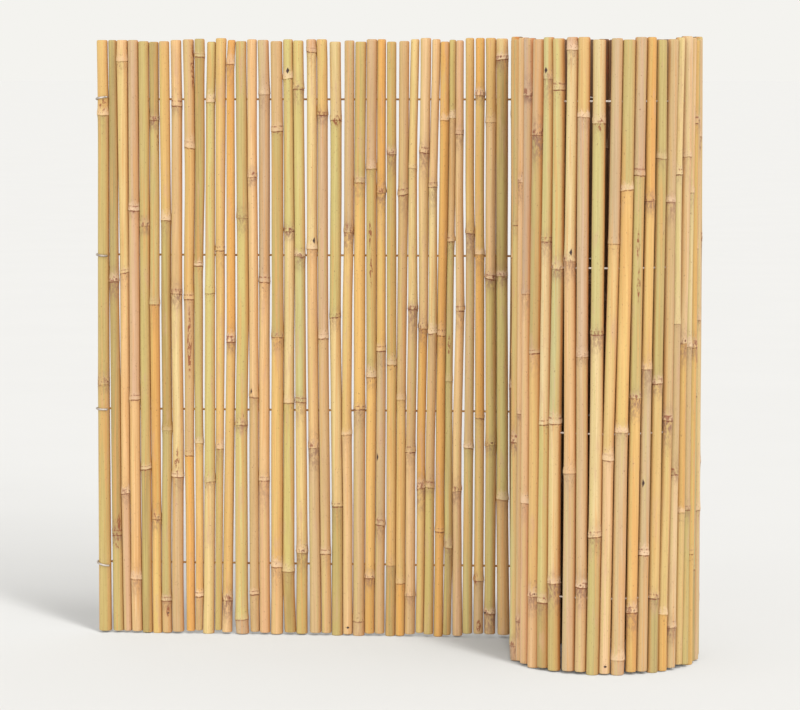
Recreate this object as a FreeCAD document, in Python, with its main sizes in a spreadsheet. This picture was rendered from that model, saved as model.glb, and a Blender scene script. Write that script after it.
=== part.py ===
import FreeCAD, Part
import math
import os

# A bamboo fence panel: upright canes threaded on four wires, its first part
# standing flat and the rest rolled up towards the front.
# Millimetres, Z up, the front of the panel faces -Y, the feet stand on Z = 0.

# Sizes of the whole panel.
PANEL = (
    ("cane_length", 1000.0, "every cane is cut to this length"),
    ("cane_sides", 8, "flats round one cane"),
    ("cane_clearance", 0.9, "least room between two neighbouring canes"),
    ("node_rise", 0.4, "how far a node ring stands out of the cane"),
    ("node_step", 6.0, "height of the step under a node ring"),
    ("flat_run", 841.0, "from the end cane to the start of the roll"),
    ("roll_radius", 151.0, "wire line of the first half turn"),
    ("roll_thickness", 1.07, "rolled canes over flat ones"),
    ("roll_gap", 0.4, "how much the bend opens each gap"),
    ("turn_clearance", 2.5, "least room between two turns of the roll"),
    ("wire_thickness", 2.8, "across the corners of a wire"),
    ("wire_sides", 6, "flats round one wire"),
    ("wire_foot_margin", 121.0, "lowest wire above the feet"),
    ("wire_head_margin", 96.0, "highest wire below the heads"),
    ("wire_bend", 24.0, "degrees that a wire turns at one bend of the roll"),
    ("loop_clearance", 0.4, "room between an end cane and the loop round it"),
    ("loop_bend", 27.0, "degrees that a wire turns at one bend of a loop"),
)

# The canes of the flat run, from its free end to the roll. Bamboo tapers, and
# the canes lie either way up: thickness at foot and head, the room before the
# cane at foot and head beyond the least, how far the cane sits above the
# ground, and its nodes in thousandths of the length.
CANES = (
    (20.0, 17.0, 0.0, 0.0, 3, (420, 875)),
    (17.0, 13.0, 3.0, 3.0, 3, (165, 595)),
    (12.5, 17.5, 1.0, 0.0, 3, (235, 610, 965)),
    (17.0, 16.5, 0.0, 0.0, 3, (90, 395, 715)),
    (16.0, 16.5, 0.5, 0.0, 1, (280, 690)),
    (15.0, 15.5, 0.0, 0.0, 0, (195, 560, 870)),
    (15.5, 16.0, 0.5, 3.5, 1, (55, 345, 700)),
    (19.0, 17.0, 0.5, 0.0, 3, (265, 575, 890)),
    (13.5, 17.5, 5.0, 5.0, 4, (300, 565, 820)),
    (11.5, 16.0, 0.0, 0.0, 5, (60, 320, 620, 970)),
    (18.5, 13.5, 1.0, 4.5, 0, (260, 580, 900)),
    (10.5, 17.0, 1.5, 0.0, 6, (310, 645)),
    (16.5, 12.0, 0.0, 4.0, 3, (55, 495, 960)),
    (20.5, 17.0, 9.5, 0.0, 1, (25, 355, 705)),
    (14.5, 15.0, 1.0, 0.0, 4, (65, 400, 770)),
    (17.0, 18.0, 0.0, 1.5, 3, (260, 595, 910)),
    (19.5, 18.5, 3.5, 5.0, 1, (115, 505, 850)),
    (18.5, 15.5, 0.0, 0.0, 4, (105, 390, 680, 935)),
    (18.0, 16.5, 0.0, 0.0, 2, (140, 395, 640, 920)),
    (18.5, 15.5, 5.5, 5.5, 4, (315, 650, 980)),
    (16.0, 17.0, 0.0, 0.0, 4, (135, 500, 875)),
    (18.0, 18.0, 0.0, 3.5, 0, (220, 540, 870)),
    (15.0, 15.5, 0.0, 9.0, 2, (340, 680)),
    (19.0, 17.5, 0.0, 0.0, 0, (25, 385, 765)),
    (15.5, 16.5, 2.5, 0.0, 4, (95, 435, 785)),
    (15.5, 13.5, 0.5, 1.5, 4, (185, 480, 745)),
    (15.5, 14.5, 2.5, 2.0, 0, (120, 460, 815)),
    (14.5, 15.5, 1.0, 6.0, 1, (90, 400, 745)),
    (16.0, 13.0, 0.0, 2.5, 4, (65, 310, 550, 785)),
    (12.0, 16.5, 3.5, 4.5, 6, (245, 515, 810)),
    (15.0, 12.5, 0.0, 1.0, 4, (250, 510, 755)),
    (14.0, 13.5, 1.0, 1.0, 0, (180, 510, 870)),
    (12.5, 10.0, 0.0, 0.0, 3, (150, 430, 665, 870)),
    (15.5, 11.5, 3.0, 0.0, 2, (245, 550, 845)),
    (15.0, 13.0, 1.5, 4.0, 6, (315, 675)),
    (15.0, 14.0, 3.0, 3.5, 6, (90, 365, 640, 905)),
    (17.5, 16.0, 1.0, 1.5, 6, (35, 320, 600, 860)),
    (19.0, 18.5, 3.0, 0.0, 5, (230, 605, 965)),
)

BEHIND_ROLL = 9  # canes that go on straight behind the roll
ROLLED = 45  # canes in the roll
FRONT_OF_ROLL = range(9, 36)  # places in the roll that face forwards
GROUP = 4  # rolled canes that share one sub-part
PLAIN_NODES = 1  # nodes on a cane that faces backwards
LOOP_BENDS = 5  # bends in the loop round an end cane
WIRES = ("wire_foot", "wire_lower", "wire_upper", "wire_head")

doc = FreeCAD.newDocument("bamboo_fence")
sheet = doc.addObject("Spreadsheet::Sheet", "Sizes")


def write(cell, alias, value):
    """Put one named size into the sheet."""
    sheet.set(cell, str(value))
    sheet.setAlias(cell, alias)


for line, (alias, value, note) in enumerate(PANEL, start=1):
    sheet.set(f"A{line}", note)
    write(f"B{line}", alias, value)

for row, (foot_size, head_size, foot_gap, head_gap, lift, nodes) in enumerate(CANES, start=1):
    line = len(PANEL) + row
    sheet.set(f"A{line}", f"cane {row}: thickness and gap at foot and head, lift, nodes")
    write(f"B{line}", f"foot_{row:02d}", foot_size)
    write(f"C{line}", f"head_{row:02d}", head_size)
    write(f"D{line}", f"footgap_{row:02d}", foot_gap)
    write(f"E{line}", f"headgap_{row:02d}", head_gap)
    write(f"F{line}", f"lift_{row:02d}", lift)
    for number, (column, node) in enumerate(zip("GHIJ", nodes), start=1):
        write(f"{column}{line}", f"node_{row:02d}_{number}", node)
doc.recompute()


def size(alias):
    """One named size, read back from the sheet."""
    return float(sheet.get(alias))


def cane_size(name, row):
    """One size of a cane, read back from its row of the sheet."""
    return size(f"{name}_{row:02d}")


# The wire line in plan: straight, then half turns that get tighter by half
# the distance between two turns, each meeting the last one square.
flat_run = size("flat_run")
roll_radius = size("roll_radius")
thickest = max(cane_size(end, row + 1) for row in range(len(CANES)) for end in ("foot", "head"))
turn_pitch = thickest * size("roll_thickness") + 2 * size("node_rise") + size("turn_clearance")


def on_mat(distance):
    """Plan position at a distance along the wire line, and its heading in radians."""
    if distance <= flat_run:
        return distance, 0.0, 0.0
    rest = distance - flat_run
    radius = roll_radius
    centre = -radius
    side = 1
    while rest > math.pi * radius:
        rest -= math.pi * radius
        end = centre - side * radius
        radius -= turn_pitch / 2
        side = -side
        centre = end - side * radius
    angle = rest / radius
    x = flat_run + side * radius * math.sin(angle)
    y = centre + side * radius * math.cos(angle)
    return x, y, -angle if side > 0 else math.pi - angle


# The order of the canes along the wires: the flat ones, the straight ones
# behind the roll, and the roll, where the rows run backwards so that the
# roll repeats the flat run from left to right. Each entry holds the row,
# the row whose gaps come before the cane, and the number of nodes kept.
order = [(row, row, len(CANES[row - 1][-1])) for row in range(1, len(CANES) + 1)]
order += [(row, row, PLAIN_NODES) for row in range(1, BEHIND_ROLL + 1)]
first_rolled = len(order)
last_row = BEHIND_ROLL
for place in range(ROLLED):
    row = (last_row - 2) % len(CANES) + 1
    kept = len(CANES[row - 1][-1]) if place in FRONT_OF_ROLL else PLAIN_NODES
    order.append((row, last_row if place else row, kept))
    last_row = row

# Where each cane crosses the wire line, at its head and at its foot.
canes = []
along = {"foot": 0.0, "head": 0.0}
before = {"foot": 0.0, "head": 0.0}
for place, (row, gap_row, kept) in enumerate(order):
    rolled = place >= first_rolled
    growth = size("roll_thickness") if rolled else 1.0
    for end in along:
        radius = cane_size(end, row) * growth / 2
        if place:
            room = size("cane_clearance") + (size("roll_gap") if rolled else 0.0)
            along[end] += before[end] + room + cane_size(f"{end}gap", gap_row) + radius
        before[end] = radius
    canes.append((row, growth, kept, along["foot"], along["head"]))


def extent(cane):
    """Least and greatest X and Y that one cane reaches."""
    row, growth, kept, foot, head = cane
    reach = max(cane_size("foot", row), cane_size("head", row)) * growth / 2 + size("node_rise")
    ends = on_mat(foot), on_mat(head)
    xs = [end[0] for end in ends]
    ys = [end[1] for end in ends]
    return min(xs) - reach, max(xs) + reach, min(ys) - reach, max(ys) + reach


# The origin is the middle of the footprint, with the loops round the end cane counted in.
loop_reach = size("loop_clearance") + size("wire_thickness")
reaches = [extent(cane) for cane in canes]
middle_x = (min(r[0] for r in reaches) - loop_reach + max(r[1] for r in reaches)) / 2
middle_y = (min(r[2] for r in reaches) + max(r[3] for r in reaches)) / 2


def make_cane(name, cane):
    """Ruled loft through level sections: the cane tapers, widens down to each node and steps in below it."""
    row, growth, kept, foot, head = cane
    foot_x, foot_y, heading = on_mat(foot)
    head_x, head_y, heading = on_mat(head)
    step = size("node_step") / size("cane_length")
    levels = [("0", "Sizes.node_rise / 2", 0.0)]
    for number in range(1, kept + 1):
        alias = f"node_{row:02d}_{number}"
        height = f"Sizes.cane_length * Sizes.{alias} / 1000"
        share = size(alias) / 1000
        levels.append((f"{height} - Sizes.node_step", "0", share - step))
        levels.append((height, "Sizes.node_rise", share))
    levels.append(("Sizes.cane_length", "0", 1.0))

    foot_size = f"Sizes.foot_{row:02d}"
    taper = f"(Sizes.head_{row:02d} - {foot_size}) / Sizes.cane_length"
    grown = "Sizes.roll_thickness" if growth != 1.0 else "1"
    sections = []
    for height, rise, share in levels:
        section = doc.addObject("Part::RegularPolygon", f"{name}_section")
        section.Placement.Base = FreeCAD.Vector((head_x - foot_x) * share, (head_y - foot_y) * share, 0)
        thickness = f"({foot_size} + {taper} * ({height})) * {grown}"
        section.setExpression("Polygon", "Sizes.cane_sides")
        section.setExpression("Circumradius", f"{thickness} / 2 + {rise}")
        section.setExpression("Placement.Base.z", height)
        sections.append(section)
    loft = doc.addObject("Part::Loft", name)
    loft.Sections = sections
    loft.Solid = True
    loft.Ruled = True
    loft.Label = name
    loft.Placement.Base = FreeCAD.Vector(foot_x - middle_x, foot_y - middle_y, 0)
    loft.setExpression("Placement.Base.z", f"Sizes.lift_{row:02d}")
    return loft


def along_wire(cane, height):
    """Distance along the wire line at which a cane's axis crosses a given height."""
    row, growth, kept, foot, head = cane
    return foot + (head - foot) * height / size("cane_length")


def loop_points(cane, height, outwards):
    """Bends of the loop that a wire makes round an end cane, from the drilled hole to its tip."""
    row, growth, kept, foot, head = cane
    x, y, heading = on_mat(along_wire(cane, height))
    taper = cane_size("head", row) - cane_size("foot", row)
    reach = (cane_size("foot", row) + taper * height / size("cane_length")) * growth / 2
    reach += size("node_rise") + size("loop_clearance") + size("wire_thickness") / 2
    out = FreeCAD.Vector(math.cos(heading), math.sin(heading), 0) * outwards
    aside = FreeCAD.Vector(math.sin(heading), -math.cos(heading), 0)
    centre = FreeCAD.Vector(x - middle_x, y - middle_y, height)
    points = []
    for bend in range(LOOP_BENDS + 1):
        angle = math.radians(bend * size("loop_bend"))
        points.append(centre + (out * math.cos(angle) + aside * math.sin(angle)) * reach)
    return points


def make_wire(name, level):
    """Many-sided wire swept from loop to loop, straight on the flat run and bent inside the rolled canes."""
    margins = size("wire_foot_margin") + size("wire_head_margin")
    spacing = (size("cane_length") - margins) / (len(WIRES) - 1)
    height = size("wire_foot_margin") + spacing * level
    end = along_wire(canes[-1], height)
    bends = math.ceil((end - flat_run) / (roll_radius * math.radians(size("wire_bend"))))
    points = list(reversed(loop_points(canes[0], height, -1)))
    for bend in range(bends):
        x, y, heading = on_mat(flat_run + (end - flat_run) * bend / bends)
        points.append(FreeCAD.Vector(x - middle_x, y - middle_y, height))
    points += loop_points(canes[-1], height, 1)

    path = doc.addObject("Part::Polygon", f"{name}_path")
    path.Nodes = points
    profile = doc.addObject("Part::RegularPolygon", f"{name}_profile")
    profile.Placement.Base = points[0]
    profile.Placement.Rotation = FreeCAD.Rotation(FreeCAD.Vector(0, 0, 1), points[1] - points[0])
    profile.setExpression("Polygon", "Sizes.wire_sides")
    profile.setExpression("Circumradius", "Sizes.wire_thickness / 2")
    wire = doc.addObject("Part::Sweep", name)
    wire.Sections = [profile]
    wire.Spine = (path, [])
    wire.Solid = True
    wire.Frenet = False
    wire.Transition = "Right corner"
    wire.Label = name
    return wire


parts = []
for place in range(len(CANES)):
    parts.append(make_cane(f"cane_{place + 1:02d}", canes[place]))

rest = canes[len(CANES):]
for number, start in enumerate(range(0, len(rest), GROUP), start=1):
    name = f"rolled_canes_{number:02d}"
    members = []
    for member, cane in enumerate(rest[start:start + GROUP], start=1):
        members.append(make_cane(f"{name}_{member}", cane))
    group = doc.addObject("Part::Compound", name)
    group.Links = members
    group.Label = name
    parts.append(group)

for level, name in enumerate(WIRES):
    parts.append(make_wire(name, level))

doc.recompute()

for item in doc.Objects:
    if "Invalid" in item.State or "Error" in item.State:
        raise RuntimeError(f"{item.Label} did not compute: {item.State}")
os.makedirs("parts", exist_ok=True)
for part in parts:
    if part.Shape.isNull() or not part.Shape.isValid():
        raise RuntimeError(f"{part.Label} has no valid shape")
    part.Shape.exportStep(f"parts/{part.Label}.step")
print(len(parts), "sub-parts,", len(canes), "canes, mat length", round(canes[-1][4]))
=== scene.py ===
# %% [markdown]
# # A bamboo fence panel
# The panel is a row of bamboo canes threaded on four wires. Half of it stands flat
# and the rest is rolled up towards the viewer. The solids say where each cane stands,
# how thick it is and where its joints are. This file reads that back and gives every
# cane a round, jointed skin, hollow cut ends and a colour of its own.

# %% Load the solids
import math

import bpy
import numpy as np
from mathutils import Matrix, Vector


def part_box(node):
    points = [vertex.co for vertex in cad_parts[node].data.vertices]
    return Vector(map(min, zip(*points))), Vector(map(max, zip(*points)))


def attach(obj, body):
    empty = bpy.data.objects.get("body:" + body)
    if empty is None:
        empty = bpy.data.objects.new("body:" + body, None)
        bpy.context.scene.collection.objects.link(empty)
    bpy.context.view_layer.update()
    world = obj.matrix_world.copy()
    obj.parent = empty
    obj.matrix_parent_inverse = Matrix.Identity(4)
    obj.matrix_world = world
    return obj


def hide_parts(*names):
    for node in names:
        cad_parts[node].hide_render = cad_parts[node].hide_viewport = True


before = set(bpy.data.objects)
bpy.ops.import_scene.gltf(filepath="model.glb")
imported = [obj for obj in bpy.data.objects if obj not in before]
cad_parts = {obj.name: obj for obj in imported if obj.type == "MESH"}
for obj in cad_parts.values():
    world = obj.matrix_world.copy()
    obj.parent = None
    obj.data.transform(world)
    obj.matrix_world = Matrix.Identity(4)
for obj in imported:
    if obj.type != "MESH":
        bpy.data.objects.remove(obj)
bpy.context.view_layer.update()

scene = bpy.context.scene
scene.view_settings.view_transform = "Standard"

# %% [markdown]
# ## Reading the canes back
# Each solid cane is a loft through level sections, so its corners lie on a few heights.
# The middle of the corners at one height is a point of the axis, and their distance
# from it is the radius there. A joint is a height where the cane is thicker than its
# taper alone would make it. A node of the frame may hold several canes: corners that
# share a triangle belong to one cane, which a few passes of "take the smaller label"
# settle without any search.

# %% Split a node into canes
FOOT_RISE = 0.0002  # the solid is this much thicker at its foot
SAME_HEIGHT = 1e-4  # corners closer in height than this share a section


def split_canes(node):
    """Corner points of each cane in a node: labels spread along triangle edges until they agree."""
    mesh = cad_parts[node].data
    points = np.empty(len(mesh.vertices) * 3)
    mesh.vertices.foreach_get("co", points)
    mesh.calc_loop_triangles()
    corners = np.empty(len(mesh.loop_triangles) * 3, dtype=int)
    mesh.loop_triangles.foreach_get("vertices", corners)
    places, same = np.unique(np.round(points.reshape(-1, 3), 6), axis=0, return_inverse=True)
    triangles = same.ravel()[corners].reshape(-1, 3)
    label = np.arange(len(places))
    while True:
        least = label[triangles].min(axis=1)
        spread = label.copy()
        np.minimum.at(spread, triangles.ravel(), np.repeat(least, 3))
        if np.array_equal(spread, label):
            break
        label = spread
    return [places[label == one] for one in np.unique(label)]


def read_cane(corners):
    """Axis ends, radius at both ends and joint heights above the foot, from level sections."""
    heights = np.unique(np.round(corners[:, 2], 4))
    rows = [corners[np.abs(corners[:, 2] - h) < SAME_HEIGHT] for h in heights]
    middles = np.array([row.mean(axis=0) for row in rows])
    reaches = [np.linalg.norm(row[:, :2] - m[:2], axis=1) for row, m in zip(rows, middles)]
    radii = np.array([reach.mean() for reach in reaches])
    ends = np.array([radii[0] - FOOT_RISE, radii[-1]])
    thicker = radii - np.interp(heights, heights[[0, -1]], ends)
    return {
        "foot": middles[0],
        "head": middles[-1],
        "radii": ends,
        "joints": heights[thicker > 1.5 * FOOT_RISE] - heights[0],
    }


flat_nodes = sorted(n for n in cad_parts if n.startswith("cane_"))
rolled_nodes = sorted(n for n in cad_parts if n.startswith("rolled_canes_"))
wire_nodes = sorted(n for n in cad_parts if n.startswith("wire_"))

canes = {node: [read_cane(split_canes(node)[0])] for node in flat_nodes}
last = canes[flat_nodes[-1]][0]
for node in rolled_nodes:
    waiting = [read_cane(corners) for corners in split_canes(node)]
    canes[node] = []
    while waiting:
        waiting.sort(key=lambda cane: np.linalg.norm(cane["foot"] - last["foot"]))
        last = waiting.pop(0)
        canes[node].append(last)
mat = [cane for node in flat_nodes + rolled_nodes for cane in canes[node]]
print(len(flat_nodes), "flat canes and", len(mat) - len(flat_nodes), "others")

# %% [markdown]
# ## Colours of the canes
# Bamboo dries unevenly, so a cane changes colour from one joint to the next. A short
# palette of named tones is enough: every cane gets one word for each length between
# joints, from its head down. The roll repeats the canes of the flat run, so a rolled
# cane takes the words of the flat cane with the same lowest joint and the same taper.

# %% Palette and words
PALETTE = {
    "straw": (230, 200, 140),
    "honey": (226, 184, 115),
    "olive": (200, 176, 112),
    "lime": (210, 193, 126),
    "peach": (231, 190, 138),
    "tan": (211, 175, 126),
    "amber": (227, 170, 93),
    "rose": (220, 177, 137),
    "khaki": (184, 158, 100),
    "mauve": (208, 172, 132),
}
TONES = """
honey olive olive
khaki khaki olive
peach straw peach rose
mauve rose peach peach
olive olive khaki
khaki olive amber honey
honey khaki olive tan
peach tan straw tan
tan honey tan amber
olive khaki olive honey tan
lime lime lime straw
honey honey olive
amber amber honey peach
olive lime lime mauve
peach peach tan tan
mauve mauve peach rose
tan olive honey peach
lime lime straw lime khaki
lime lime lime straw olive
rose straw peach tan
honey mauve tan tan
straw lime straw olive
tan honey peach
olive honey tan mauve
mauve olive honey amber
amber honey tan tan
olive olive honey khaki
tan tan honey amber
straw straw tan peach tan
peach peach amber honey
peach straw tan olive
amber amber amber amber
olive tan olive olive khaki
rose peach peach rose
honey tan olive
amber honey amber honey tan
honey peach olive olive tan
straw khaki lime tan
""".strip().splitlines()
TONE_SEED = 300
BRIGHT = 0.03  # how unevenly two lengths of one tone dry, in brightness
WARM = np.array([0.02, -0.004, -0.05])  # and in red, green and blue, from cool to warm
MOST_UNEVEN = 1.8  # limit of both, in standard deviations
SHADED = (0.95, 0.99, 1.10)  # rolled canes get a cooler, less orange tone
TAPER_WEIGHT = 0.3


def linear(colour):
    """Screen colour from 0 to 255 as light: the usual power curve of screens."""
    part = np.asarray(colour) / 255
    return np.where(part <= 0.04045, part / 12.92, ((part + 0.055) / 1.055) ** 2.4)


def likeness(cane):
    """What a rolled cane shares with its flat twin: height of the lowest joint, and taper."""
    return np.array([cane["joints"][0], TAPER_WEIGHT * cane["radii"][0] / cane["radii"][1]])


tone_light = {word: linear(colour) for word, colour in PALETTE.items()}
twins = np.array([likeness(canes[node][0]) for node in flat_nodes])
twin_joints = [canes[node][0]["joints"] for node in flat_nodes]
for cane in mat:
    row = int(np.abs(twins - likeness(cane)).sum(axis=1).argmin())
    cane["row"] = row
    cane["joints"] = twin_joints[row]
    words = TONES[row].split()[::-1]
    uneven = np.random.default_rng(TONE_SEED + row).normal(0, 1, (2, len(words), 1))
    bright, warm = np.clip(uneven, -MOST_UNEVEN, MOST_UNEVEN)
    tones = np.array([tone_light[word] for word in words])
    cane["tones"] = tones * (1 + BRIGHT * bright) * (1 + WARM * warm)
print("rows after the flat run:", [cane["row"] + 1 for cane in mat[len(flat_nodes):]])

# %% [markdown]
# ## Bends
# No cane is straight. It turns a little at each joint, to the side and to the front,
# and its neighbours give way. So each cane first gets small kinks of its own, some
# slide along the wires or bend further, and then any two neighbours that would overlap
# at some height are pushed apart by half the overlap each, again and again, until the
# row is packed the way a real one is.

# %% Kinks and packing
LEVELS = 60  # points along the axis of a cane
PASSES = 60  # rounds of pushing neighbours apart
KINK_SEED = 1000
SKIN = 0.0006  # the skin lies this far outside the corners of the solid
SIDE_KINK, MOST_ASIDE = 0.0014, 0.003
FLAT_DEPTH, ROLL_DEPTH = 0.0020, 0.0007  # kinks to the front
END_LOOSE = 0.35  # share of a kink at the foot and the head
LEAST_GAP = 0.0001  # between two skins
OFF_LINE = 0.0003  # a cane this far from the line of the flat run is rolled
CLOSE_UP = np.array([-0.0026, -0.0045])  # the first rolled cane tucks in by this much
# Canes about one number have slid along the wires, all the way within half the reach
SLID, SLID_ABOUT, SLID_REACH = -0.003, 33, 6
# Sideways bends of single canes: height as a share of the length, millimetres to the right
BENDS = {
    7: ((0.3, 0), (0.56, -2), (0.95, -2)),
    8: ((0.1, 0.5), (0.33, 3), (0.56, 0.5)),
    9: ((0.2, 0), (0.6, -3.5), (0.75, -0.5)),
    10: ((0.2, 0), (0.6, -3), (0.75, -0.5)),
    12: ((0.3, 0), (0.56, 2.5), (0.76, 1.5), (0.95, 0)),
    14: ((0.33, -2.5), (0.56, 0), (0.76, -2)),
    17: ((0.33, -2.5), (0.56, -1.5), (0.9, -2)),
    20: ((0.1, 0), (0.33, -1.5), (0.6, 0)),
    22: ((0.3, 0.5), (0.76, 2), (0.95, 1)),
    23: ((0.2, -1), (0.56, -4), (0.95, -2)),
    30: ((0.1, 0), (0.33, -2.5), (0.56, -1), (0.76, -3), (0.95, 0)),
    31: ((0.1, 0), (0.33, -2), (0.56, -0.5), (0.76, -1.5), (0.95, 0)),
    33: ((0.33, 0), (0.56, -2), (0.8, 0)),
    34: ((0.33, 0), (0.56, 1.5), (0.76, -0.5)),
    35: ((0.56, 0), (0.76, -1.5), (0.95, 0)),
    36: ((0.33, -0.5), (0.56, -1.5), (0.76, -2.5), (0.95, -1)),
    37: ((0.5, 0), (0.95, -1.2)),
    38: ((0.3, 0), (0.6, -1), (0.95, -2.2)),
    39: ((0.3, 0), (0.6, 1.5), (0.95, 2.5)),
}
level = np.linspace(0, 1, LEVELS)
feet = np.array([cane["foot"] for cane in mat])
heads = np.array([cane["head"] for cane in mat])
flat_y = feet[0, 1]
roll_reach = np.ptp(feet[:, 1]) / 2
roll_middle = np.array([feet[:, 0].max() - roll_reach, feet[:, 1].max() - roll_reach])


def kink(cane, seed):
    """Offsets of a cane's axis, aside and outward: straight between joints, turning at each."""
    rng = np.random.default_rng(seed)
    knots = np.concatenate([[0], cane["joints"], [1]])
    loose = np.concatenate([[END_LOOSE], np.ones(len(cane["joints"])), [END_LOOSE]])
    depth = ROLL_DEPTH if cane["rolled"] else FLAT_DEPTH
    turns = np.clip(rng.normal(0, SIDE_KINK, len(knots)), -MOST_ASIDE, MOST_ASIDE)
    aside = np.interp(level, knots, turns * loose)
    turns = np.clip(rng.normal(0, depth, len(knots)), -2 * depth, 2 * depth)
    forth = np.interp(level, knots, turns * loose)
    return np.outer(aside, cane["right"]) + np.outer(forth, cane["outward"])


for k, cane in enumerate(mat):
    cane["rolled"] = abs(cane["foot"][1] - flat_y) > OFF_LINE
    # Which way a cane faces the inside of the roll, where painted shade goes: inward on rolled
    # canes, forward on the canes that stand behind the roll
    cane["inside"] = -1.0 if cane["rolled"] else float(k >= len(flat_nodes))
    outward = cane["foot"][:2] - roll_middle if cane["rolled"] else np.array([0.0, -1.0])
    cane["outward"] = outward / np.linalg.norm(outward)
    cane["right"] = np.array([-cane["outward"][1], cane["outward"][0]])
    if cane["rolled"]:
        cane["tones"] = cane["tones"] * SHADED
axes = feet[:, None, :2] + level[None, :, None] * (heads - feet)[:, None, :2]
axes = axes + np.array([kink(cane, KINK_SEED + k) for k, cane in enumerate(mat)])
axes[[cane["rolled"] for cane in mat].index(True)] += CLOSE_UP
flat_numbers = np.arange(1, len(flat_nodes) + 1)
slid = SLID * np.clip(1.5 - np.abs(flat_numbers - SLID_ABOUT) / SLID_REACH, 0, 1)
axes[:len(flat_nodes), :, 0] += slid[:, None]
for cane_number, bend in BENDS.items():
    axes[cane_number - 1, :, 0] += np.interp(level, *zip(*bend)) / 1000
girth = np.array([np.interp(level, [0, 1], cane["radii"] + SKIN) for cane in mat])
for _ in range(PASSES):
    between = axes[1:] - axes[:-1]
    distance = np.linalg.norm(between, axis=2)
    push = np.clip(girth[1:] + girth[:-1] + LEAST_GAP - distance, 0, None) / 2
    shift = between * (push / distance)[..., None]
    axes[:-1] -= shift
    axes[1:] += shift
for cane, axis in zip(mat, axes):
    cane["axis"] = axis
print("largest overlap left in mm:", round(float(push.max()) * 2000, 3))

# %% [markdown]
# ## The skin of one cane
# A culm is nearly a cylinder, but each joint has a form of its own: the wall swells
# down to the joint, a thin groove runs round it, a little askew, and below it lies the
# scar of the leaf sheath, a narrow lip. Most joints carry a bud on one side. All of it
# is one function, radius over angle and height, so the skin is a grid of points: rows
# along the cane, close together near the joints, and columns round it. The first and
# last rows go over the worn edge of the cut and down into the hollow.

# %% Sizes of the skin
COLUMNS = 24
EVEN_ROWS = 34
END_ROOM = 0.004  # extra rows keep this far from the ends
LEAST_STEP = 0.00025  # between two rows
NEAR_JOINT = np.array([-45, -28, -17, -11, -7.5, -5, -3.4, -2.6, -1.9, -1.3, -0.8, -0.3,
                       0.3, 1, 2, 3.2, 4.6, 5.8, 6.8, 8.2, 11, 15, 22, 34]) / 1000
NEAR_MARK = np.linspace(-1, 1, 7)
HOLLOW = 0.42  # bore over outside
EDGE = 0.0028  # rounding of the worn cut edge at the head
FOOT_EDGE = 0.6  # share of it at the foot
RIM_SHARE = np.array([HOLLOW, HOLLOW, HOLLOW + 0.05, 0.7, 1, 1, 1])
RIM_INSET = np.array([0, 0, 0, 0, 1.0, 0.45, 0.12]) * EDGE
RIM_DEPTH = np.array([0.012, 0.001, 0.0001, 0, 0, 0.13 * EDGE, 0.5 * EDGE])
# Cut value of each rim ring: the sawn face near 1, the hollow at 2, where its painted shade goes
RIM_CUT = np.array([2, 2, 1, 1, 0.7, 0.35, 0.1])
# Rings of a joint in metres: height above it, half width, rise
GROOVE = (-0.0013, 0.0006, -0.0005)
LIP = (-0.0027, 0.0009, 0.00035)
RIDGE = (0.0062, 0.0012, 0.0002)
FADE_ABOVE, FADE_BELOW = 0.009, 0.008  # the swelling fades over these lengths
STEP_SHARE, STEP_WIDTH = 0.55, 0.0012  # part of it that ends in a step below the joint
JOINT_RISE = (0.0004, 0.0015)  # least and most swelling
JOINT_TALL = (0.6, 1.4)  # least and most stretch of the ridge above
JOINT_LEAN, JOINT_WAVE, LEAN_REACH = 0.0009, 0.0003, 0.02  # how far a joint is askew
WAIST, WAIST_LENGTH = 0.012, 0.14  # share by which a cane is thinner between joints
OVAL = 0.012
BUD_WIDTH = 0.6  # half width, as an angle
BUD_UP, BUD_HALF, BUD_RISE = 0.004, 0.006, 0.0008  # height above the joint, half height, rise
REACH = 50.0  # millimetres either side of a joint that its finish can colour
SOIL_STRETCH = (0.5, 1.6)  # least and most stretch of the stain below a joint
MARK_CORE = 0.2  # share of a mark that has its full strength
# Scars and cut twigs by row: height, half height, turn from the front, half width, kind
MARKS = {
    1: ((0.892, 0.014, 0.1, 0.9, "scar"),),
    2: ((0.186, 0.018, 0.5, 0.5, "scar"), (0.150, 0.012, 0.2, 0.6, "scar")),
    6: ((0.832, 0.016, 0.8, 0.35, "scar"),),
    7: ((0.036, 0.013, 0.4, 0.5, "scar"), (0.034, 0.005, 0.4, 0.25, "knot")),
    8: ((0.290, 0.032, -0.1, 0.5, "scar"),),
    9: ((0.490, 0.085, 0.15, 0.55, "scar"), (0.955, 0.055, 0.9, 0.5, "scar")),
    15: ((0.409, 0.008, -0.5, 0.3, "knot"),),
    18: ((0.948, 0.007, 0.0, 0.45, "knot"),),
    20: ((0.664, 0.011, 0.45, 0.3, "knot"),),
    22: ((0.868, 0.012, 0.3, 0.9, "scar"),),
    23: ((0.012, 0.004, 0.1, 0.4, "knot"),),
    25: ((0.677, 0.030, -0.2, 0.4, "scar"), (0.613, 0.030, 0.0, 0.35, "scar")),
    26: ((0.300, 0.014, -0.7, 0.3, "knot"),),
    33: ((0.490, 0.024, -0.1, 0.5, "scar"),),
    36: ((0.095, 0.014, -0.6, 0.6, "scar"), (0.014, 0.013, 0.1, 0.8, "scar")),
    37: ((0.036, 0.004, -0.9, 0.4, "knot"),),
}

# %% Skin surface


def turn_from(angle, start):
    """Angle measured from a start, between minus half a turn and half a turn."""
    return np.angle(np.exp(1j * (angle - start)))


def bell(gap, height, width, rise):
    """Bell curve: rise times e to the power of minus the squared distance in half widths."""
    return rise * np.exp(-(((gap - height) / width) ** 2))


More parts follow.
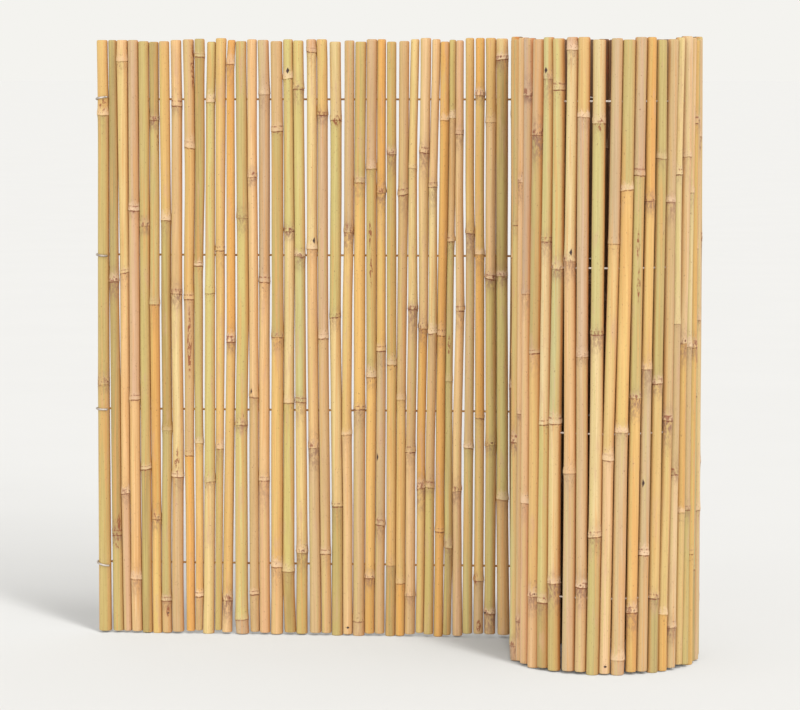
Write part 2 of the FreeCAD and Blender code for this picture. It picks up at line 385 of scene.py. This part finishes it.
def joint_form(gap, rise, tall):
    """Rise of the skin above a joint: swelling on both sides, groove, lip below, ridge above."""
    under = (1 - STEP_SHARE) * np.exp(gap / FADE_BELOW) + bell(gap, 0, STEP_WIDTH, STEP_SHARE)
    swelling = np.where(gap >= 0, np.exp(-gap / FADE_ABOVE), under)
    rings = bell(gap, *GROOVE) + bell(gap, *LIP) + bell(gap, RIDGE[0] * tall, *RIDGE[1:])
    return rise * swelling + rings


def cane_rows(length, joints, marks):
    """Heights of the rows: even steps, and more of them near each joint and each mark."""
    even = np.linspace(EDGE, length - EDGE, EVEN_ROWS)
    close = [joints[:, None] + NEAR_JOINT] + [(m[0] + m[1] * NEAR_MARK)[None] for m in marks]
    close = np.concatenate([rows.ravel() for rows in close])
    close = close[(close > END_ROOM) & (close < length - END_ROOM)]
    rows = np.sort(np.concatenate([even, close]))
    return rows[np.concatenate([[True], np.diff(rows) > LEAST_STEP])]


def cane_surface(cane, seed):
    """Grid of a cane: radius(angle, height) about its bent axis, with the finish of each point."""
    rng = np.random.default_rng(seed)
    foot, joints = cane["foot"], cane["joints"]
    length = cane["head"][2] - foot[2]
    marks = MARKS.get(cane["row"] + 1, ())
    wall = cane_rows(length, joints, marks)
    front = math.atan2(cane["outward"][1], cane["outward"][0])
    angle = front + np.linspace(0, 2 * np.pi, COLUMNS, endpoint=False)
    count = len(joints)

    nearest = np.abs(wall[:, None] - joints).argmin(axis=1)
    gap = wall - joints[nearest]
    radius = np.interp(wall, [0, length], cane["radii"] + SKIN)
    waist = 1 - WAIST * np.sin(np.pi * np.clip(np.abs(gap) / WAIST_LENGTH, 0, 1))
    bud_angle = front + rng.uniform(-np.pi, np.pi, count)[nearest][:, None]
    bud = np.clip(1 - np.abs(turn_from(angle, bud_angle)) / BUD_WIDTH, 0, 1)
    bud = bud * np.clip(1 - np.abs(gap - BUD_UP) / BUD_HALF, 0, 1)[:, None]
    oval = 1 + OVAL * np.cos(2 * (angle - rng.uniform(0, np.pi)))
    rise = rng.uniform(*JOINT_RISE, count)[nearest]
    tall = rng.uniform(*JOINT_TALL, count)
    level_radius = radius * waist + joint_form(gap, rise, tall[nearest])
    wall_radius = level_radius[:, None] * oval + BUD_RISE * bud

    lean = rng.normal(0, JOINT_LEAN, count)[nearest][:, None]
    phase = rng.uniform(0, 6.3, count)[nearest][:, None]
    askew = lean * np.cos(angle - phase) + JOINT_WAVE * np.cos(5 * angle + phase)
    askew = askew * bell(gap, 0, LEAN_REACH, 1)[:, None]

    rings = np.vstack([
        np.outer(RIM_SHARE, wall_radius[0]) - FOOT_EDGE * RIM_INSET[:, None],
        wall_radius,
        (np.outer(RIM_SHARE, wall_radius[-1]) - RIM_INSET[:, None])[::-1],
    ])
    heights = np.concatenate([FOOT_EDGE * RIM_DEPTH, wall, length - RIM_DEPTH[::-1]])
    ends = len(RIM_DEPTH)
    middle = [np.interp(heights / length, level, cane["axis"][:, k])[:, None] for k in (0, 1)]
    points = np.empty((len(heights), COLUMNS, 3))
    points[..., 0] = middle[0] + rings * np.cos(angle)
    points[..., 1] = middle[1] + rings * np.sin(angle)
    points[..., 2] = (foot[2] + heights)[:, None] + np.pad(askew, ((ends, ends), (0, 0)))

    whole = np.concatenate([np.zeros(ends), wall, np.full(ends, length)])
    close = np.abs(whole[:, None] - joints).argmin(axis=1)
    height = (whole - joints[close]) * 1000
    under, over = height < 0, height >= 0
    soil_length = rng.uniform(*SOIL_STRETCH, count)[close]
    marked = {kind: np.zeros((len(whole), COLUMNS)) for kind in ("scar", "knot")}
    for high, half, aside, wide, kind in marks:
        upright = np.abs((whole - high) / half)[:, None]
        sideways = np.abs(turn_from(angle, front + aside) / wide)
        marked[kind] += np.clip(1 + MARK_CORE - upright - sideways, 0, 1)
    every = np.ones(COLUMNS)
    each = np.ones(len(whole))
    finish = {
        "tone": cane["tones"][np.searchsorted(joints, whole)][:, None, :] * every[:, None],
        "below": np.outer(under * np.clip(REACH + height, 0, None), every),
        "above": np.outer(over * np.clip(REACH - height / tall[close], 0, None), every),
        "soil": np.outer(under * np.clip(REACH + height / soil_length, 0, None), every),
        "stain": np.outer(rng.beta(1.1, 1.3, count)[close], every),
        "pale": np.outer(rng.beta(1.0, 1.4, count)[close], every),
        "ring": np.outer(rng.beta(1.2, 1.2, count)[close], every),
        # painted shade on the side that faces the inside of the roll
        "inner_shade": np.outer(each, np.clip(cane["inside"] * np.cos(angle - front), 0, 1)),
        "cut": np.outer(np.concatenate([RIM_CUT, np.zeros(len(wall)), RIM_CUT[::-1]]), every),
        "bud": np.pad(bud, ((ends, ends), (0, 0))),
        "side": np.outer(each, np.sin(angle - front)),
        **marked,
    }
    return points, finish


sample = cane_surface(mat[0], 0)[0]
print("one cane has", sample.shape[0], "rows of", COLUMNS, "points")

# %% [markdown]
# ## From grids to meshes
# Neighbouring points of a grid make four-sided faces, and the last column joins the
# first, so there is no seam. One flat face closes the bottom of each hollow. The
# finish values are stored on the points as named attributes for the material.

# %% Mesh of one or more grids


def grid_faces(rows, columns, start):
    """Corner numbers of the faces of a closed tube: quads between rows, and a cap at each end."""
    row, column = np.meshgrid(np.arange(rows - 1), np.arange(columns), indexing="ij")
    beside = (column + 1) % columns
    quads = np.stack([row * columns + column, row * columns + beside,
                      (row + 1) * columns + beside, (row + 1) * columns + column], axis=-1)
    caps = np.stack([np.arange(columns)[::-1], (rows - 1) * columns + np.arange(columns)])
    return quads.reshape(-1, 4) + start, caps + start


def store_finish(mesh, finishes):
    """Finish values of all grids as point attributes: colours where they have three parts."""
    for key, first in finishes[0].items():
        wide = np.concatenate([finish[key].reshape(-1, *first.shape[2:]) for finish in finishes])
        if wide.ndim == 2:
            values = mesh.attributes.new(key, "FLOAT_COLOR", "POINT")
            wide = np.column_stack([wide, np.ones(len(wide))])
            values.data.foreach_set("color", wide.astype(np.float32).ravel())
        else:
            values = mesh.attributes.new(key, "FLOAT", "POINT")
            values.data.foreach_set("value", wide.astype(np.float32))


def build_mesh(name, grids, finishes):
    """One mesh object from several tube grids, with the finish values as point attributes."""
    quads, caps, start = [], [], 0
    for grid in grids:
        faces, ends = grid_faces(grid.shape[0], grid.shape[1], start)
        quads.append(faces)
        caps.append(ends)
        start += grid.shape[0] * grid.shape[1]
    quads, caps = np.vstack(quads), np.vstack(caps)
    points = np.concatenate([grid.reshape(-1) for grid in grids])
    corners = np.concatenate([quads.ravel(), caps.ravel()])
    sides = np.concatenate([np.full(len(quads), 4), np.full(len(caps), caps.shape[1])])
    starts = np.concatenate([[0], np.cumsum(sides)[:-1]])
    mesh = bpy.data.meshes.new(name)
    mesh.vertices.add(start)
    mesh.vertices.foreach_set("co", points.astype(np.float32))
    mesh.loops.add(len(corners))
    mesh.loops.foreach_set("vertex_index", corners.astype(np.int32))
    mesh.polygons.add(len(sides))
    mesh.polygons.foreach_set("loop_start", starts.astype(np.int32))
    mesh.polygons.foreach_set("use_smooth", np.ones(len(sides), dtype=bool))
    store_finish(mesh, finishes)
    mesh.update(calc_edges=True)
    mesh.validate()
    piece = bpy.data.objects.new(name, mesh)
    scene.collection.objects.link(piece)
    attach(piece, "root")
    return piece


SEEDS_A_NODE = 100
cane_pieces = []
for number, node in enumerate(flat_nodes + rolled_nodes):
    made = [cane_surface(cane, SEEDS_A_NODE * number + k) for k, cane in enumerate(canes[node])]
    piece = build_mesh(f"skin_{node}", [m[0] for m in made], [m[1] for m in made])
    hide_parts(node)
    cane_pieces.append(piece)
print(len(cane_pieces), "cane pieces,", sum(len(p.data.polygons) for p in cane_pieces), "faces")

# %% [markdown]
# ## Wires
# A galvanised wire goes through a drilled hole in every cane, so only short spans show
# in the gaps. At each end it comes out of the last cane, loops round it and is pinched
# off. A round section carried along the holes gives the whole wire; the canes hide the
# rest of it.

# %% Wire surface
WIRE_RADIUS = 0.0018
WIRE_COLUMNS = 10
LOOP_TURN, LOOP_POINTS = math.radians(135), 14
LOOP_SLACK = 1.02  # the loop stands off by this share of the cane
LOOP_CLIMB = 0.6  # share of a turn in which it rises
LOOP_RISE = {"wire_foot": -0.006, "wire_lower": -0.001, "wire_upper": -0.002, "wire_head": 0.004}


def cane_at(cane, height):
    """Middle of a cane at a height, on its bent axis."""
    part = (height - cane["foot"][2]) / (cane["head"][2] - cane["foot"][2])
    return np.array([*(np.interp(part, level, cane["axis"][:, k]) for k in (0, 1)), height])


def loop_round(cane, height, inwards, front_hint, rise):
    """Points of an arc about an end cane, from its outer side round the front, climbing by rise."""
    middle = cane_at(cane, height)
    out = -inwards / np.linalg.norm(inwards)
    front = np.array([out[1], -out[0], 0.0])
    if np.dot(front[:2], front_hint) < 0:
        front = -front
    turn = np.linspace(0, LOOP_TURN, LOOP_POINTS)[:, None]
    reach = np.interp(height, [0, 1], cane["radii"]) * LOOP_SLACK + SKIN + WIRE_RADIUS
    arc = middle + reach * (np.cos(turn) * out + np.sin(turn) * front)
    arc[:, 2] += rise * np.sin(turn[:, 0] * LOOP_CLIMB)
    return arc


def tube(path, radius, columns):
    """Round section carried along a path: across it and upwards, so the wire never twists."""
    along = np.gradient(path, axis=0)
    along /= np.linalg.norm(along, axis=1, keepdims=True)
    across = np.cross(along, [0, 0, 1])
    across /= np.linalg.norm(across, axis=1, keepdims=True)
    upwards = np.cross(across, along)
    angle = np.linspace(0, 2 * np.pi, columns, endpoint=False)[None, :, None]
    section = np.cos(angle) * across[:, None] - np.sin(angle) * upwards[:, None]
    return path[:, None] + radius * section


wire_pieces = []
level_only = np.array([1, 1, 0])
brown_spans = np.array([not cane["rolled"] for cane in mat], dtype=float)
for node in wire_nodes:
    low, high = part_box(node)
    height = (low.z + high.z) / 2
    rise = LOOP_RISE[node]
    holes = np.array([cane_at(cane, height) for cane in mat])
    start, end = (holes[1] - holes[0]) * level_only, (holes[-2] - holes[-1]) * level_only
    first = loop_round(mat[0], height, start, mat[0]["outward"], rise)
    final = loop_round(mat[-1], height, end, -mat[-1]["outward"], rise)
    path = np.vstack([first[::-1], holes, final])
    span = np.concatenate([np.zeros(len(first)), brown_spans, np.zeros(len(final))])
    finish = {"span": np.outer(span, np.ones(WIRE_COLUMNS))}
    piece = build_mesh(f"round_{node}", [tube(path, WIRE_RADIUS, WIRE_COLUMNS)], [finish])
    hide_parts(node)
    wire_pieces.append(piece)

# %% [markdown]
# ## Grain shared by the bamboo
# Fibres run along the cane, so noise that is stretched in height gives fine streaks,
# broad bands and blotches. It is one node group with named outputs, made once.

# %% Grain group


def add(tree, kind, **values):
    """New shader node with its settings."""
    node = tree.nodes.new(kind)
    for key, value in values.items():
        setattr(node, key, value)
    return node


def feed(tree, socket, value):
    """Join an output to an input, or write a plain value into it."""
    if isinstance(value, bpy.types.NodeSocket):
        tree.links.new(value, socket)
    else:
        socket.default_value = value


def noise(tree, vector, stretch, detail, roughness=0.55):
    """Noise on stretched coordinates, from 0 to 1."""
    mapping = add(tree, "ShaderNodeMapping")
    feed(tree, mapping.inputs["Vector"], vector)
    mapping.inputs["Scale"].default_value = stretch
    texture = add(tree, "ShaderNodeTexNoise")
    feed(tree, texture.inputs["Vector"], mapping.outputs["Vector"])
    texture.inputs["Scale"].default_value = 1.0
    texture.inputs["Detail"].default_value = detail
    texture.inputs["Roughness"].default_value = roughness
    return texture.outputs["Fac"]


def ramp(tree, value, low, high, start=0.0, end=1.0):
    """Smooth step of a value from low to high, given as start to end."""
    step = add(tree, "ShaderNodeMapRange", interpolation_type="SMOOTHSTEP")
    limits = {"From Min": low, "From Max": high, "To Min": start, "To Max": end}
    for name, one in {"Value": value, **limits}.items():
        feed(tree, step.inputs[name], one)
    return step.outputs["Result"]


def sums(tree, operation, first, second=0.0):
    """One sum of two values."""
    node = add(tree, "ShaderNodeMath", operation=operation)
    feed(tree, node.inputs[0], first)
    feed(tree, node.inputs[1], second)
    return node.outputs[0]


def times(tree, first, *others):
    """Product of several values."""
    for value in others:
        first = sums(tree, "MULTIPLY", first, value)
    return first


def mix(tree, part, first, second, blend="MIX"):
    """Two colours mixed by a share."""
    node = add(tree, "ShaderNodeMix", data_type="RGBA", blend_type=blend)
    feed(tree, node.inputs[0], part)
    feed(tree, node.inputs[6], first)
    feed(tree, node.inputs[7], second)
    return node.outputs[2]


STRETCHES = {
    "Streak": ((430, 430, 7), 4, 0.65),
    "Band": ((170, 170, 3.5), 2, 0.5),
    "Blotch": ((75, 75, 14), 4, 0.6),
    "Mottle": ((260, 260, 120), 4, 0.65),
    "Fleck": ((520, 520, 300), 2, 0.55),
}
grain = bpy.data.node_groups.new("lengthwise_grain", "ShaderNodeTree")
grain.interface.new_socket("Vector", in_out="INPUT", socket_type="NodeSocketVector")
for name in STRETCHES:
    grain.interface.new_socket(name, in_out="OUTPUT", socket_type="NodeSocketFloat")
inlet = add(grain, "NodeGroupInput")
outlet = add(grain, "NodeGroupOutput")
for name, (stretch, detail, roughness) in STRETCHES.items():
    made = noise(grain, inlet.outputs["Vector"], stretch, detail, roughness)
    feed(grain, outlet.inputs[name], made)
print("grain gives", list(STRETCHES))

# %% [markdown]
# ## Bamboo skin
# The skin is a waxy, satin surface. Its colour is the tone of that length of cane,
# streaked along the fibres and flushed orange and green in bands. Painted light lies on
# top: each cane is greener on its left and darker and warmer on its right, with painted
# shade and warm reflection on the edges that face its neighbours and painted shade on
# the inside of the roll. A joint has a dark ring, often a second one above it, a pale
# zone between them and a stain below, each stronger or weaker from joint to joint. Cut
# ends are dry and pale, and their hollow is painted dark as shade. Light that the canes
# throw back is taken as nearly grey, so the pale floor keeps its own colour beside them.

# %% Bamboo colours
HUES = {
    "orange": (218, 158, 92),
    "green": (208, 191, 116),
    "pink": (206, 162, 130),
    "brown": (164, 122, 84),
    # painted light across a cane: darker, warmer shade on the right and a greener light on the left
    "shade on the right": (212, 148, 88),
    "light on the left": (208, 190, 118),
    # painted shade and warm reflection on the edges that face the neighbouring canes
    "edge shade": (202, 114, 46),
    # painted shade on the inside of the roll
    "inside": (84, 46, 33),
    "soil": (150, 110, 88),
    "pale zone": (236, 202, 166),
    "bud": (232, 196, 154),
    "bud core": (110, 64, 46),
    "burnt": (140, 78, 52),
    "lower ring": (132, 74, 48),
    "upper ring": (146, 82, 54),
    "speck": (128, 76, 50),
    "scar": (146, 80, 50),
    "knot": (66, 46, 46),
    "sawn": (206, 168, 118),
    # painted shade in the hollow of a cut end
    "hollow_shade": (98, 72, 46),
    "bounce": (184, 184, 180),
}
FINISH = ("below", "above", "soil", "stain", "pale", "ring", "inner_shade", "cut", "side", "bud",
          "scar", "knot")


def attribute(tree, name, socket="Fac"):
    """A finish value stored on the points."""
    return add(tree, "ShaderNodeAttribute", attribute_name=name).outputs[socket]


def colour(red, green, blue):
    """Screen colour as a shader colour."""
    return (*linear((red, green, blue)), 1.0)


def lay(tree, base, part, hue):
    """A named hue laid over a colour by a share."""
    return mix(tree, part, base, colour(*HUES[hue]))


def near(tree, closeness, far, close, start=0.0, end=1.0):
    """Smooth step between two distances from a joint in millimetres, from far to close."""
    return ramp(tree, closeness, REACH - far, REACH - close, start, end)


# %% Bamboo material
bamboo = bpy.data.materials.new("bamboo_skin")
bamboo.use_nodes = True
tree = bamboo.node_tree
skin = tree.nodes["Principled BSDF"]
place = add(tree, "ShaderNodeTexCoord").outputs["Object"]
fibres = add(tree, "ShaderNodeGroup", node_tree=grain)
feed(tree, fibres.inputs["Vector"], place)
streak, band, blotch, mottle, fleck = (fibres.outputs[name] for name in STRETCHES)
values = [attribute(tree, name) for name in FINISH]
below, above, soil, stain, pale, ring, inner_shade, cut, side, bud, scar, knot = values

# Fibres, bands and blotches
light, dark = (1.04, 1.04, 1.05, 1), (0.87, 0.84, 0.78, 1)
shade = mix(tree, ramp(tree, streak, 0.32, 0.68), dark, light)
base = mix(tree, 1.0, attribute(tree, "tone", "Color"), shade, "MULTIPLY")
base = lay(tree, base, ramp(tree, band, 0.53, 0.68, 0, 0.55), "orange")
base = lay(tree, base, ramp(tree, band, 0.47, 0.32, 0, 0.4), "green")
base = lay(tree, base, ramp(tree, blotch, 0.55, 0.72, 0, 0.5), "pink")
base = lay(tree, base, ramp(tree, mottle, 0.6, 0.75, 0, 0.3), "brown")

# Painted light across each cane, painted shade at its edges and on the inside of the roll
base = lay(tree, base, ramp(tree, side, 0.1, 0.85, 0, 0.4), "shade on the right")
base = lay(tree, base, ramp(tree, side, -0.1, -0.8, 0, 0.25), "light on the left")
# Painted shade and warm reflection where the edges face the neighbouring canes, stronger on the
# right
right_edge_shade = ramp(tree, side, 0.78, 1.0, 0, 0.65)
left_edge_shade = ramp(tree, side, -0.8, -1.0, 0, 0.4)
base = lay(tree, base, sums(tree, "MAXIMUM", right_edge_shade, left_edge_shade), "edge shade")
# Painted shade on the sides that face the inside of the roll
base = lay(tree, base, ramp(tree, inner_shade, 0.1, 0.7, 0, 0.85), "inside")

# Stain, pale zone, bud and burnt specks of a joint
patchy = ramp(tree, mottle, 0.38, 0.6, 0.15, 1)
soiled = sums(tree, "MAXIMUM", near(tree, soil, 44, 3), near(tree, above, 34, 3, 0, 0.6))
base = lay(tree, base, times(tree, soiled, stain, patchy), "soil")
ragged = sums(tree, "ADD", above, times(tree, sums(tree, "SUBTRACT", mottle, 0.5), 40.0))
zone = times(tree, near(tree, ragged, 18, 2), near(tree, above, 50, 42), pale, 0.8)
base = lay(tree, base, zone, "pale zone")
base = lay(tree, base, times(tree, ramp(tree, bud, 0.25, 0.6, 0, 0.7), pale), "bud")
bud_core = times(tree, ramp(tree, bud, 0.5, 0.8), ramp(tree, stain, 0.4, 0.6))
base = lay(tree, base, bud_core, "bud core")
burnt = sums(tree, "ADD", mottle, times(tree, near(tree, above, 14, 2), 0.14))
burnt = times(tree, ramp(tree, burnt, 0.64, 0.7), near(tree, above, 20, 10))
base = lay(tree, base, times(tree, burnt, ramp(tree, stain, 0.3, 0.8), 0.75), "burnt")

# Rings of a joint, and specks that gather near it
wavy = sums(tree, "ADD", below, times(tree, sums(tree, "SUBTRACT", fleck, 0.5), 2.4))
lower_ring = times(tree, near(tree, wavy, 3.0, 1.6), near(tree, wavy, 0.8, -0.2, 1, 0))
lower_ring = times(tree, lower_ring, ramp(tree, ring, 0, 0.8, 0.3, 0.95))
broken = ramp(tree, mottle, 0.36, 0.52, 0.15, 1)
base = lay(tree, base, times(tree, lower_ring, broken), "lower ring")
upper_ring = times(tree, near(tree, above, 8.5, 7), near(tree, above, 6.4, 5, 1, 0))
upper_ring = times(tree, upper_ring, ramp(tree, ring, 0.4, 0.8))
broken = ramp(tree, mottle, 0.42, 0.56, 0, 0.85)
base = lay(tree, base, times(tree, upper_ring, broken), "upper ring")
beside = sums(tree, "MAXIMUM", near(tree, below, 25, 5), near(tree, above, 25, 5))
specks = sums(tree, "ADD", fleck, times(tree, beside, 0.05))
base = lay(tree, base, ramp(tree, specks, 0.66, 0.74, 0, 0.65), "speck")

# Scars, cut twigs and cut ends
scarred = times(tree, ramp(tree, scar, 0.1, 0.5), ramp(tree, mottle, 0.46, 0.55, 0.1, 0.9))
base = lay(tree, base, scarred, "scar")
base = lay(tree, base, ramp(tree, knot, 0.3, 0.6), "knot")
sawn = ramp(tree, cut, 0.3, 0.9)
base = lay(tree, base, times(tree, sawn, 0.8), "sawn")
# Painted shade: the hollow of a cut end is dark in place of the shade down the bore
base = lay(tree, base, ramp(tree, cut, 1.2, 1.8), "hollow_shade")

bounced = add(tree, "ShaderNodeLightPath").outputs["Is Diffuse Ray"]
base = lay(tree, base, times(tree, bounced, 0.8), "bounce")
feed(tree, skin.inputs["Base Color"], base)
gloss = ramp(tree, streak, 0.2, 0.8, 0.58, 0.46)
feed(tree, skin.inputs["Roughness"], sums(tree, "ADD", gloss, times(tree, sawn, 0.35)))
bump = add(tree, "ShaderNodeBump")
bump.inputs["Strength"].default_value = 0.25
bump.inputs["Distance"].default_value = 0.0003
feed(tree, bump.inputs["Height"], sums(tree, "ADD", streak, mottle))
feed(tree, skin.inputs["Normal"], bump.outputs["Normal"])
skin.inputs["Specular IOR Level"].default_value = 0.3
for piece in cane_pieces:
    piece.data.materials.append(bamboo)
print("bamboo has", len(tree.nodes), "nodes")

# %% [markdown]
# ## Galvanised wire
# Zinc dulls to a soft grey where the wire loops out and where the roll opens its gaps.
# In the flat run it is brown and barely metallic, so the span value stored on the
# points chooses between the two, and a noise along the wire breaks both up.

# %% Wire material
zinc = bpy.data.materials.new("galvanised_wire")
zinc.use_nodes = True
tree = zinc.node_tree
metal = tree.nodes["Principled BSDF"]
place = add(tree, "ShaderNodeTexCoord").outputs["Object"]
spots = ramp(tree, noise(tree, place, (140, 140, 140), 3), 0.35, 0.65)
clean = mix(tree, spots, colour(204, 195, 187), colour(168, 155, 142))
brown_zinc = mix(tree, spots, colour(168, 122, 64), colour(124, 84, 42))
brown_share = attribute(tree, "span")
feed(tree, metal.inputs["Base Color"], mix(tree, brown_share, clean, brown_zinc))
feed(tree, metal.inputs["Roughness"], ramp(tree, spots, 0, 1, 0.35, 0.5))
feed(tree, metal.inputs["Metallic"], ramp(tree, brown_share, 0, 1, 0.8, 0.1))
for piece in wire_pieces:
    piece.data.materials.append(zinc)
print("wire material on", len(wire_pieces), "wires")

# %% [markdown]
# ## Floor, light and camera
# The panel stands on a pale floor that runs back out of sight. Most of the light is
# even, from the whole room. A lamp from the front left and one from the right model the
# canes. Two fans of lamps above each other, which only the floor receives, draw the
# shadows. One from the right draws those beside the panel and the roll, sharp where they
# start and fading with distance. One from the front deepens the shade behind the panel.
# The camera stands about five metres away just below the cane heads, a little to the
# right, and looks slightly down.

# %% Floor
PALE = (244, 243, 239)
FLOOR_HALF = 300.0
FLOOR_DROP = 0.0002  # the floor lies this far under the feet
floor_mesh = bpy.data.meshes.new("floor")
corner = np.array([[-1, -1], [1, -1], [1, 1], [-1, 1]]) * FLOOR_HALF
corner = np.column_stack([corner, np.full(4, -FLOOR_DROP)])
floor_mesh.from_pydata(corner.tolist(), [], [(0, 1, 2, 3)])
floor = bpy.data.objects.new("floor", floor_mesh)
scene.collection.objects.link(floor)
paper = bpy.data.materials.new("floor_paper")
paper.use_nodes = True
tree = paper.node_tree
sheet = tree.nodes["Principled BSDF"]
place = add(tree, "ShaderNodeTexCoord").outputs["Object"]
cloud = ramp(tree, noise(tree, place, (2, 2, 2), 2), 0.3, 0.7)
floor_colour = mix(tree, cloud, colour(220, 219, 216), colour(221, 220, 217))
feed(tree, sheet.inputs["Base Color"], floor_colour)
sheet.inputs["Roughness"].default_value = 0.95
sheet.inputs["Specular IOR Level"].default_value = 0.0
floor_mesh.materials.append(paper)
print("floor is", 2 * FLOOR_HALF, "m wide")

# %% World and lamps
WORLD_LIGHT = 0.67
FAN_SOFTNESS = 9
SIDE_AZIMUTH, FRONT_AZIMUTH = 36, 4
SIDE_FAN = {73: 0.35, 65: 0.34, 55: 0.21, 44: 0.28, 33: 0.37, 22: 0.37}  # strength by elevation
FRONT_FAN = {28: 0.25, 16: 0.57, 8: 1.42}
world = bpy.data.worlds.new("studio")
scene.world = world
world.use_nodes = True
tree = world.node_tree
backdrop = tree.nodes["Background"]
rays = add(tree, "ShaderNodeLightPath")
seen = sums(tree, "MAXIMUM", rays.outputs["Is Camera Ray"], rays.outputs["Is Glossy Ray"])
seen = sums(tree, "MAXIMUM", seen, rays.outputs["Is Transmission Ray"])
feed(tree, backdrop.inputs["Color"], mix(tree, seen, (1, 1, 1, 1), colour(*PALE)))
feed(tree, backdrop.inputs["Strength"], ramp(tree, seen, 0, 1, WORLD_LIGHT, 1.0))


def sun(name, azimuth, elevation, strength, softness, lit):
    """Far lamp at an azimuth right of the front and an elevation, received by the lit objects."""
    lamp = bpy.data.lights.new(name, "SUN")
    lamp.energy = strength
    lamp.angle = math.radians(softness)
    thing = bpy.data.objects.new(name, lamp)
    a, e = math.radians(azimuth), math.radians(elevation)
    away = Vector((math.sin(a) * math.cos(e), -math.cos(a) * math.cos(e), math.sin(e)))
    thing.rotation_euler = away.to_track_quat("Z", "Y").to_euler()
    scene.collection.objects.link(thing)
    group = bpy.data.collections.new(f"lit_by_{name}")
    for piece in lit:
        group.objects.link(piece)
    thing.light_linking.receiver_collection = group


panel = cane_pieces + wire_pieces
sun("key", azimuth=-16, elevation=30, strength=1.5, softness=70, lit=panel)
sun("fill", azimuth=75, elevation=25, strength=1.05, softness=80, lit=panel)
for azimuth, fan in ((SIDE_AZIMUTH, SIDE_FAN), (FRONT_AZIMUTH, FRONT_FAN)):
    for elevation, strength in fan.items():
        sun(f"floor_{azimuth}_{elevation}", azimuth, elevation, strength, FAN_SOFTNESS, [floor])
print("world", WORLD_LIGHT, "and", 2 + len(SIDE_FAN) + len(FRONT_FAN), "suns")

# %% Camera
IMAGE = (800, 710)
DISTANCE = 5.0  # from the flat run
EYE_HEIGHT = 0.95
PIXELS_PER_METRE = 598.6  # at the flat run
HORIZON_ROW = 71.7
ASIDE = 0.0084  # to the right of the line through the middle of the flat run
SHIFT = -0.085
AZIMUTH = math.radians(4.2)
lens = bpy.data.cameras.new("camera")
focal = PIXELS_PER_METRE * DISTANCE
lens.sensor_width = 36
lens.lens = focal / IMAGE[0] * lens.sensor_width
lens.shift_y = SHIFT
camera = bpy.data.objects.new("camera", lens)
right = np.array([math.cos(AZIMUTH), math.sin(AZIMUTH)])
back = np.array([math.sin(AZIMUTH), -math.cos(AZIMUTH)])
stand = np.array([0, flat_y]) + back * DISTANCE + right * ASIDE
camera.location = (*stand, EYE_HEIGHT)
drop = math.atan((IMAGE[1] / 2 - HORIZON_ROW + SHIFT * IMAGE[0]) / focal)
camera.rotation_euler = (math.pi / 2 - drop, 0, AZIMUTH)
scene.collection.objects.link(camera)
scene.camera = camera
print("camera looks down by", round(math.degrees(drop), 2), "degrees")
